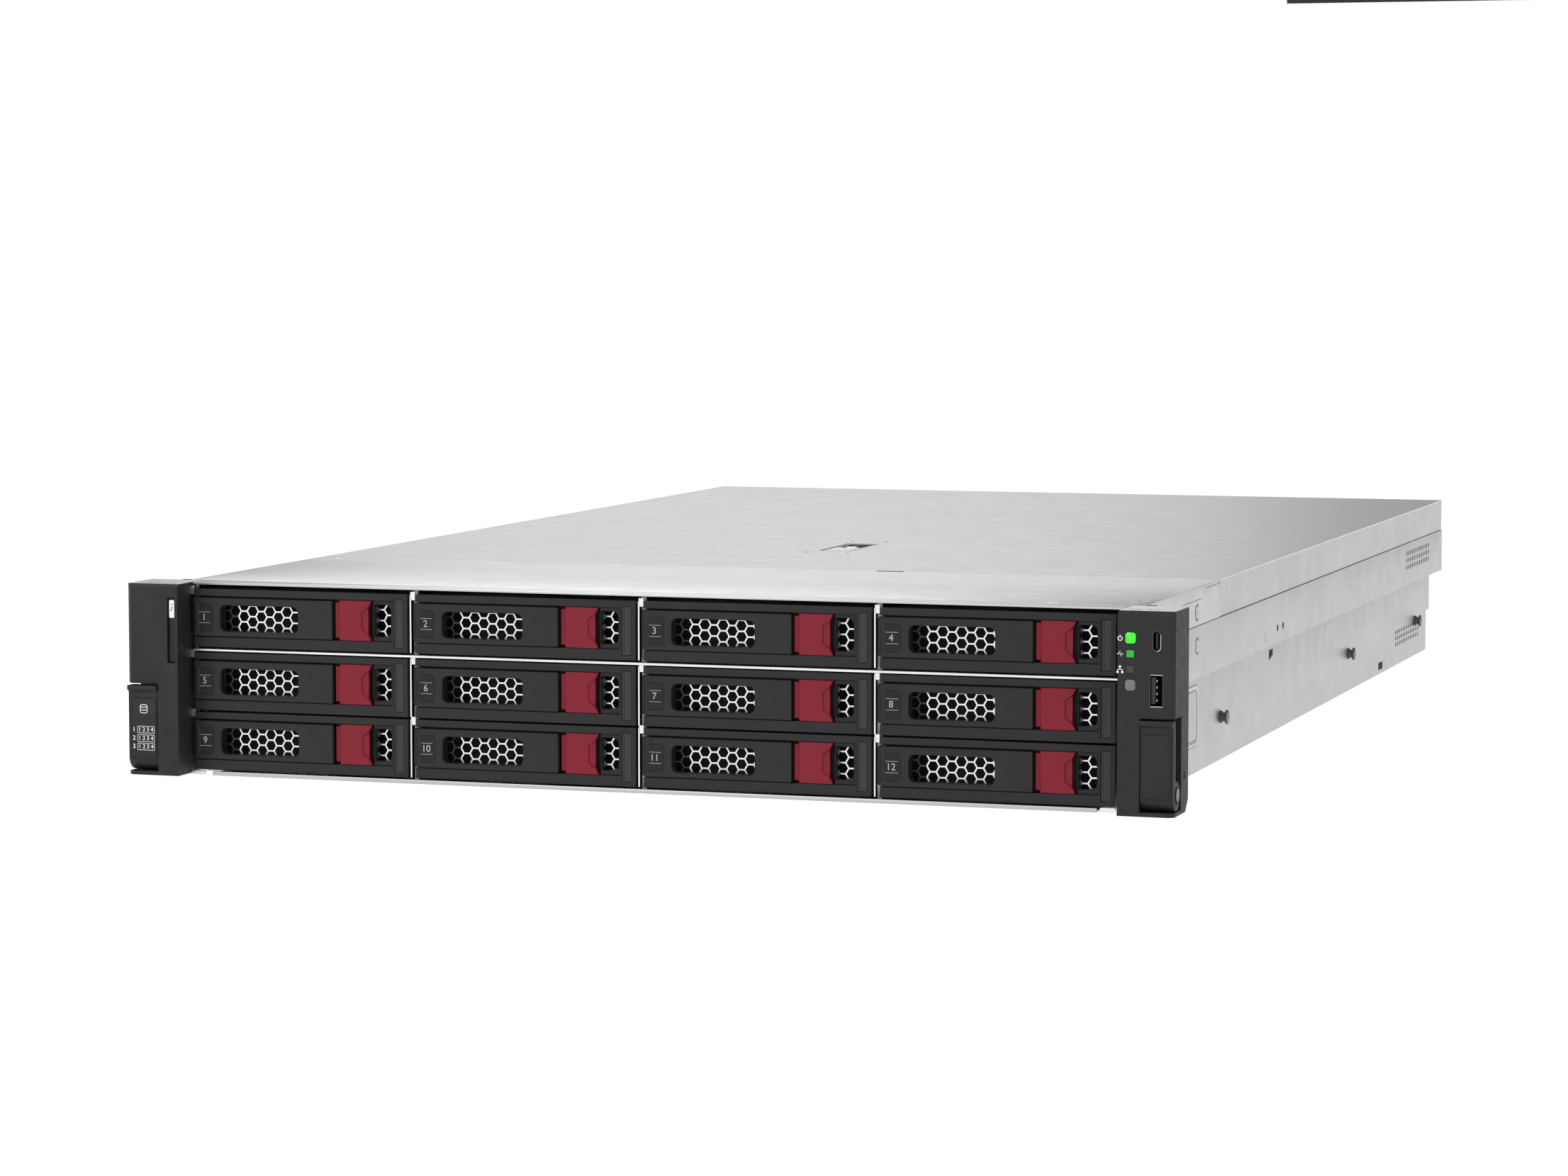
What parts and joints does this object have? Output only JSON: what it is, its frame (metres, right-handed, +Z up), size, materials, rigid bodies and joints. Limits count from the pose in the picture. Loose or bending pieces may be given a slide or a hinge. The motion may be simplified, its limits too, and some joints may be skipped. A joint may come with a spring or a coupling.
{
  "type": "2u rack server",
  "caption": "Two-unit rack server with front drive carriers on ejector levers, hinged ear levers, lift-off lid, fan row and hot-plug power supplies.",
  "frame": {"origin": "middle of the chassis underside at the rack plane, which is the rear face of the ears", "axes": "+X to the right seen from the front, +Y to the rear, +Z up"},
  "size_m": [0.482, 0.7985, 0.087],
  "materials": {
    "black_plastic": "fine spark texture, satin black",
    "maroon_plastic": "fine texture, maroon",
    "zinc_steel": "zinc-plated sheet, satin",
    "dark_steel": "machined, dark",
    "fan_plastic": "smooth black",
    "board_green": "solder mask",
    "grey_plastic": "satin grey",
    "lit_green": "lit lens",
    "clear_grey": "translucent lens"
  },
  "bodies": {
    "chassis": {"chassis": "zinc_steel", "drive_cage": "zinc_steel", "left_ear": "black_plastic", "right_ear": "black_plastic", "rail_studs": "dark_steel", "fan_housings": "fan_plastic", "system_board": "board_green", "network_jacks": "zinc_steel", "riser_cages": "zinc_steel"},
    "drive_carrier_low_1": {"drive_carrier_low_1": "black_plastic"},
    "drive_lever_low_1": {"drive_lever_low_1": "black_plastic"},
    "drive_button_low_1": {"drive_button_low_1": "maroon_plastic"},
    "drive_carrier_low_2": {"drive_carrier_low_2": "black_plastic"},
    "drive_lever_low_2": {"drive_lever_low_2": "black_plastic"},
    "drive_button_low_2": {"drive_button_low_2": "maroon_plastic"},
    "drive_carrier_low_3": {"drive_carrier_low_3": "black_plastic"},
    "drive_lever_low_3": {"drive_lever_low_3": "black_plastic"},
    "drive_button_low_3": {"drive_button_low_3": "maroon_plastic"},
    "drive_carrier_low_4": {"drive_carrier_low_4": "black_plastic"},
    "drive_lever_low_4": {"drive_lever_low_4": "black_plastic"},
    "drive_button_low_4": {"drive_button_low_4": "maroon_plastic"},
    "drive_carrier_middle_1": {"drive_carrier_middle_1": "black_plastic"},
    "drive_lever_middle_1": {"drive_lever_middle_1": "black_plastic"},
    "drive_button_middle_1": {"drive_button_middle_1": "maroon_plastic"},
    "drive_carrier_middle_2": {"drive_carrier_middle_2": "black_plastic"},
    "drive_lever_middle_2": {"drive_lever_middle_2": "black_plastic"},
    "drive_button_middle_2": {"drive_button_middle_2": "maroon_plastic"},
    "drive_carrier_middle_3": {"drive_carrier_middle_3": "black_plastic"},
    "drive_lever_middle_3": {"drive_lever_middle_3": "black_plastic"},
    "drive_button_middle_3": {"drive_button_middle_3": "maroon_plastic"},
    "drive_carrier_middle_4": {"drive_carrier_middle_4": "black_plastic"},
    "drive_lever_middle_4": {"drive_lever_middle_4": "black_plastic"},
    "drive_button_middle_4": {"drive_button_middle_4": "maroon_plastic"},
    "drive_carrier_high_1": {"drive_carrier_high_1": "black_plastic"},
    "drive_lever_high_1": {"drive_lever_high_1": "black_plastic"},
    "drive_button_high_1": {"drive_button_high_1": "maroon_plastic"},
    "drive_carrier_high_2": {"drive_carrier_high_2": "black_plastic"},
    "drive_lever_high_2": {"drive_lever_high_2": "black_plastic"},
    "drive_button_high_2": {"drive_button_high_2": "maroon_plastic"},
    "drive_carrier_high_3": {"drive_carrier_high_3": "black_plastic"},
    "drive_lever_high_3": {"drive_lever_high_3": "black_plastic"},
    "drive_button_high_3": {"drive_button_high_3": "maroon_plastic"},
    "drive_carrier_high_4": {"drive_carrier_high_4": "black_plastic"},
    "drive_lever_high_4": {"drive_lever_high_4": "black_plastic"},
    "drive_button_high_4": {"drive_button_high_4": "maroon_plastic"},
    "access_panel": {"access_panel": "zinc_steel"},
    "hood_latch": {"hood_latch": "grey_plastic"},
    "left_ear_lever": {"left_ear_lever": "black_plastic"},
    "right_ear_lever": {"right_ear_lever": "black_plastic"},
    "information_tab": {"information_tab": "black_plastic"},
    "power_button": {"power_button": "lit_green"},
    "unit_button": {"unit_button": "clear_grey"},
    "power_supply_1": {"power_supply_1": "zinc_steel"},
    "power_supply_2": {"power_supply_2": "zinc_steel"},
    "fan_rotor_1": {"fan_rotor_1": "fan_plastic"},
    "fan_rotor_2": {"fan_rotor_2": "fan_plastic"},
    "fan_rotor_3": {"fan_rotor_3": "fan_plastic"},
    "fan_rotor_4": {"fan_rotor_4": "fan_plastic"},
    "fan_rotor_5": {"fan_rotor_5": "fan_plastic"},
    "fan_rotor_6": {"fan_rotor_6": "fan_plastic"}
  },
  "joints": [
    {"name": "carrier_slide_low_1", "type": "slide", "parent": "chassis", "child": "drive_carrier_low_1", "axis": [0, -1, 0], "range_m": [0, 0.165]},
    {"name": "lever_swing_low_1", "type": "hinge", "parent": "drive_carrier_low_1", "child": "drive_lever_low_1", "pos_m": [-0.2124, -0.0115, 0.0161], "axis": [0, 0, -1], "range_deg": [0, 50]},
    {"name": "release_press_low_1", "type": "slide", "parent": "drive_carrier_low_1", "child": "drive_button_low_1", "axis": [0, 1, 0], "range_m": [0, 0.0015], "stiffness_N_per_m": 400, "springref_m": -0.0005},
    {"name": "carrier_slide_low_2", "type": "slide", "parent": "chassis", "child": "drive_carrier_low_2", "axis": [0, -1, 0], "range_m": [0, 0.165]},
    {"name": "lever_swing_low_2", "type": "hinge", "parent": "drive_carrier_low_2", "child": "drive_lever_low_2", "pos_m": [-0.1048, -0.0115, 0.0161], "axis": [0, 0, -1], "range_deg": [0, 50]},
    {"name": "release_press_low_2", "type": "slide", "parent": "drive_carrier_low_2", "child": "drive_button_low_2", "axis": [0, 1, 0], "range_m": [0, 0.0015], "stiffness_N_per_m": 400, "springref_m": -0.0005},
    {"name": "carrier_slide_low_3", "type": "slide", "parent": "chassis", "child": "drive_carrier_low_3", "axis": [0, -1, 0], "range_m": [0, 0.165]},
    {"name": "lever_swing_low_3", "type": "hinge", "parent": "drive_carrier_low_3", "child": "drive_lever_low_3", "pos_m": [0.0028, -0.0115, 0.0161], "axis": [0, 0, -1], "range_deg": [0, 50]},
    {"name": "release_press_low_3", "type": "slide", "parent": "drive_carrier_low_3", "child": "drive_button_low_3", "axis": [0, 1, 0], "range_m": [0, 0.0015], "stiffness_N_per_m": 400, "springref_m": -0.0005},
    {"name": "carrier_slide_low_4", "type": "slide", "parent": "chassis", "child": "drive_carrier_low_4", "axis": [0, -1, 0], "range_m": [0, 0.165]},
    {"name": "lever_swing_low_4", "type": "hinge", "parent": "drive_carrier_low_4", "child": "drive_lever_low_4", "pos_m": [0.1104, -0.0115, 0.0161], "axis": [0, 0, -1], "range_deg": [0, 50]},
    {"name": "release_press_low_4", "type": "slide", "parent": "drive_carrier_low_4", "child": "drive_button_low_4", "axis": [0, 1, 0], "range_m": [0, 0.0015], "stiffness_N_per_m": 400, "springref_m": -0.0005},
    {"name": "carrier_slide_middle_1", "type": "slide", "parent": "chassis", "child": "drive_carrier_middle_1", "axis": [0, -1, 0], "range_m": [0, 0.165]},
    {"name": "lever_swing_middle_1", "type": "hinge", "parent": "drive_carrier_middle_1", "child": "drive_lever_middle_1", "pos_m": [-0.2124, -0.0115, 0.0431], "axis": [0, 0, -1], "range_deg": [0, 50]},
    {"name": "release_press_middle_1", "type": "slide", "parent": "drive_carrier_middle_1", "child": "drive_button_middle_1", "axis": [0, 1, 0], "range_m": [0, 0.0015], "stiffness_N_per_m": 400, "springref_m": -0.0005},
    {"name": "carrier_slide_middle_2", "type": "slide", "parent": "chassis", "child": "drive_carrier_middle_2", "axis": [0, -1, 0], "range_m": [0, 0.165]},
    {"name": "lever_swing_middle_2", "type": "hinge", "parent": "drive_carrier_middle_2", "child": "drive_lever_middle_2", "pos_m": [-0.1048, -0.0115, 0.0431], "axis": [0, 0, -1], "range_deg": [0, 50]},
    {"name": "release_press_middle_2", "type": "slide", "parent": "drive_carrier_middle_2", "child": "drive_button_middle_2", "axis": [0, 1, 0], "range_m": [0, 0.0015], "stiffness_N_per_m": 400, "springref_m": -0.0005},
    {"name": "carrier_slide_middle_3", "type": "slide", "parent": "chassis", "child": "drive_carrier_middle_3", "axis": [0, -1, 0], "range_m": [0, 0.165]},
    {"name": "lever_swing_middle_3", "type": "hinge", "parent": "drive_carrier_middle_3", "child": "drive_lever_middle_3", "pos_m": [0.0028, -0.0115, 0.0431], "axis": [0, 0, -1], "range_deg": [0, 50]},
    {"name": "release_press_middle_3", "type": "slide", "parent": "drive_carrier_middle_3", "child": "drive_button_middle_3", "axis": [0, 1, 0], "range_m": [0, 0.0015], "stiffness_N_per_m": 400, "springref_m": -0.0005},
    {"name": "carrier_slide_middle_4", "type": "slide", "parent": "chassis", "child": "drive_carrier_middle_4", "axis": [0, -1, 0], "range_m": [0, 0.165]},
    {"name": "lever_swing_middle_4", "type": "hinge", "parent": "drive_carrier_middle_4", "child": "drive_lever_middle_4", "pos_m": [0.1104, -0.0115, 0.0431], "axis": [0, 0, -1], "range_deg": [0, 50]},
    {"name": "release_press_middle_4", "type": "slide", "parent": "drive_carrier_middle_4", "child": "drive_button_middle_4", "axis": [0, 1, 0], "range_m": [0, 0.0015], "stiffness_N_per_m": 400, "springref_m": -0.0005},
    {"name": "carrier_slide_high_1", "type": "slide", "parent": "chassis", "child": "drive_carrier_high_1", "axis": [0, -1, 0], "range_m": [0, 0.165]},
    {"name": "lever_swing_high_1", "type": "hinge", "parent": "drive_carrier_high_1", "child": "drive_lever_high_1", "pos_m": [-0.2124, -0.0115, 0.0717], "axis": [0, 0, -1], "range_deg": [0, 50]},
    {"name": "release_press_high_1", "type": "slide", "parent": "drive_carrier_high_1", "child": "drive_button_high_1", "axis": [0, 1, 0], "range_m": [0, 0.0015], "stiffness_N_per_m": 400, "springref_m": -0.0005},
    {"name": "carrier_slide_high_2", "type": "slide", "parent": "chassis", "child": "drive_carrier_high_2", "axis": [0, -1, 0], "range_m": [0, 0.165]},
    {"name": "lever_swing_high_2", "type": "hinge", "parent": "drive_carrier_high_2", "child": "drive_lever_high_2", "pos_m": [-0.1048, -0.0115, 0.0717], "axis": [0, 0, -1], "range_deg": [0, 50]},
    {"name": "release_press_high_2", "type": "slide", "parent": "drive_carrier_high_2", "child": "drive_button_high_2", "axis": [0, 1, 0], "range_m": [0, 0.0015], "stiffness_N_per_m": 400, "springref_m": -0.0005},
    {"name": "carrier_slide_high_3", "type": "slide", "parent": "chassis", "child": "drive_carrier_high_3", "axis": [0, -1, 0], "range_m": [0, 0.165]},
    {"name": "lever_swing_high_3", "type": "hinge", "parent": "drive_carrier_high_3", "child": "drive_lever_high_3", "pos_m": [0.0028, -0.0115, 0.0717], "axis": [0, 0, -1], "range_deg": [0, 50]},
    {"name": "release_press_high_3", "type": "slide", "parent": "drive_carrier_high_3", "child": "drive_button_high_3", "axis": [0, 1, 0], "range_m": [0, 0.0015], "stiffness_N_per_m": 400, "springref_m": -0.0005},
    {"name": "carrier_slide_high_4", "type": "slide", "parent": "chassis", "child": "drive_carrier_high_4", "axis": [0, -1, 0], "range_m": [0, 0.165]},
    {"name": "lever_swing_high_4", "type": "hinge", "parent": "drive_carrier_high_4", "child": "drive_lever_high_4", "pos_m": [0.1104, -0.0115, 0.0717], "axis": [0, 0, -1], "range_deg": [0, 50]},
    {"name": "release_press_high_4", "type": "slide", "parent": "drive_carrier_high_4", "child": "drive_button_high_4", "axis": [0, 1, 0], "range_m": [0, 0.0015], "stiffness_N_per_m": 400, "springref_m": -0.0005},
    {"name": "panel_lift", "type": "slide", "parent": "chassis", "child": "access_panel", "axis": [0, 0, 1], "range_m": [0, 0.1]},
    {"name": "latch_swing", "type": "hinge", "parent": "access_panel", "child": "hood_latch", "pos_m": [0.0034, 0.2625, 0.0833], "axis": [1, 0, 0], "range_deg": [0, 90]},
    {"name": "left_lever_swing", "type": "hinge", "parent": "chassis", "child": "left_ear_lever", "pos_m": [-0.2335, -0.0201, 0.009], "axis": [1, 0, 0], "range_deg": [0, 40], "stiffness_Nm_per_rad": 0.2, "springref_deg": -17.19},
    {"name": "right_lever_swing", "type": "hinge", "parent": "chassis", "child": "right_ear_lever", "pos_m": [0.2335, -0.0201, 0.009], "axis": [1, 0, 0], "range_deg": [0, 40], "stiffness_Nm_per_rad": 0.2, "springref_deg": -17.19},
    {"name": "tab_slide", "type": "slide", "parent": "chassis", "child": "information_tab", "axis": [0, -1, 0], "range_m": [0, 0.045]},
    {"name": "power_press", "type": "slide", "parent": "chassis", "child": "power_button", "axis": [0, 1, 0], "range_m": [0, 0.001], "stiffness_N_per_m": 500, "springref_m": -0.0005},
    {"name": "unit_press", "type": "slide", "parent": "chassis", "child": "unit_button", "axis": [0, 1, 0], "range_m": [0, 0.001], "stiffness_N_per_m": 500, "springref_m": -0.0005},
    {"name": "supply_slide_1", "type": "slide", "parent": "chassis", "child": "power_supply_1", "axis": [0, 1, 0], "range_m": [0, 0.186]},
    {"name": "supply_slide_2", "type": "slide", "parent": "chassis", "child": "power_supply_2", "axis": [0, 1, 0], "range_m": [0, 0.186]},
    {"name": "fan_spin_1", "type": "hinge", "parent": "chassis", "child": "fan_rotor_1", "pos_m": [-0.175, 0.23, 0.0385], "axis": [0, 1, 0], "continuous": true},
    {"name": "fan_spin_2", "type": "hinge", "parent": "chassis", "child": "fan_rotor_2", "pos_m": [-0.105, 0.23, 0.0385], "axis": [0, 1, 0], "continuous": true},
    {"name": "fan_spin_3", "type": "hinge", "parent": "chassis", "child": "fan_rotor_3", "pos_m": [-0.035, 0.23, 0.0385], "axis": [0, 1, 0], "continuous": true},
    {"name": "fan_spin_4", "type": "hinge", "parent": "chassis", "child": "fan_rotor_4", "pos_m": [0.035, 0.23, 0.0385], "axis": [0, 1, 0], "continuous": true},
    {"name": "fan_spin_5", "type": "hinge", "parent": "chassis", "child": "fan_rotor_5", "pos_m": [0.105, 0.23, 0.0385], "axis": [0, 1, 0], "continuous": true},
    {"name": "fan_spin_6", "type": "hinge", "parent": "chassis", "child": "fan_rotor_6", "pos_m": [0.175, 0.23, 0.0385], "axis": [0, 1, 0], "continuous": true}
  ]
}
